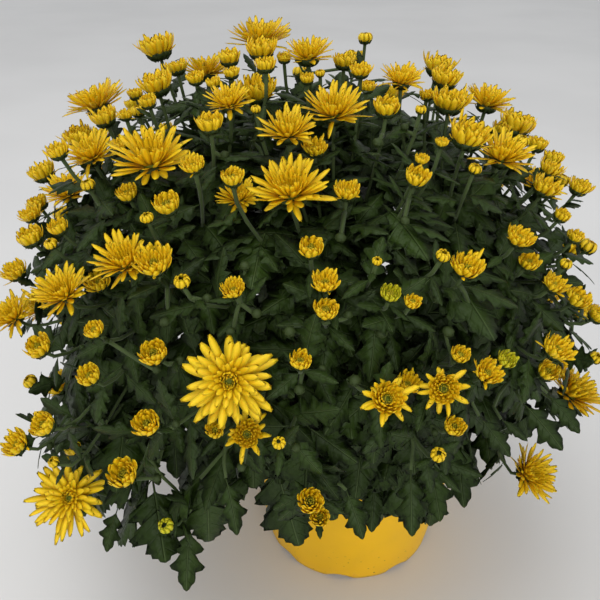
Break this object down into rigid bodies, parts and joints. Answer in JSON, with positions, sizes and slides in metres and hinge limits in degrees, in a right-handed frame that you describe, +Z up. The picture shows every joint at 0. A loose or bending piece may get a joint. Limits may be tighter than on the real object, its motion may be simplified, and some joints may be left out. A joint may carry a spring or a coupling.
{
  "type": "pot chrysanthemum",
  "caption": "Bushy dome of dark lobed leaves and yellow daisy-like flower heads, open, half open and in bud, in a round tapering plastic pot.",
  "frame": {"origin": "centre of the pot's foot, on the surface that it stands on", "axes": "+Z up along the pot's axis; the pictured side faces -Y, with +X to its right"},
  "size_m": [0.4369, 0.4127, 0.4108],
  "materials": {
    "pot": "smooth moulded plastic with a slight sheen",
    "soil": "moist potting soil of peat and bark",
    "foliage": "matt dark green leaves and stems",
    "petals": "soft satin petals"
  },
  "bodies": {
    "root": {"pot": "pot", "soil": "soil", "leafy_stem_1": "foliage", "leafy_stem_2": "foliage", "leafy_stem_3": "foliage", "leafy_stem_4": "foliage", "leafy_stem_5": "foliage", "leafy_stem_6": "foliage", "leafy_stem_7": "foliage", "flower_head_01": "petals", "flower_head_02": "petals", "flower_head_03": "petals", "flower_head_04": "petals", "flower_head_05": "petals", "flower_head_06": "petals", "flower_head_07": "petals", "flower_head_08": "petals", "flower_head_09": "petals", "flower_head_10": "petals", "flower_head_11": "petals", "flower_head_12": "petals", "flower_head_13": "petals", "flower_head_14": "petals", "flower_head_15": "petals", "flower_head_16": "petals", "flower_head_17": "petals", "flower_head_18": "petals", "flower_head_19": "petals", "flower_head_20": "petals", "flower_head_21": "petals", "flower_head_22": "petals", "flower_head_23": "petals", "flower_head_24": "petals", "flower_head_25": "petals", "flower_head_26": "petals", "flower_head_27": "petals", "flower_head_28": "petals", "flower_head_29": "petals", "flower_head_30": "petals", "flower_head_31": "petals", "flower_head_32": "petals", "flower_head_33": "petals", "flower_head_34": "petals", "flower_head_35": "petals", "flower_head_36": "petals", "flower_head_37": "petals", "flower_head_38": "petals", "flower_head_39": "petals", "flower_head_40": "petals", "flower_head_41": "petals", "flower_head_42": "petals", "flower_head_43": "petals", "flower_head_44": "petals", "flower_head_45": "petals", "flower_head_46": "petals", "flower_head_47": "petals", "flower_head_48": "petals", "flower_head_49": "petals", "flower_head_50": "petals"}
  },
  "joints": []
}
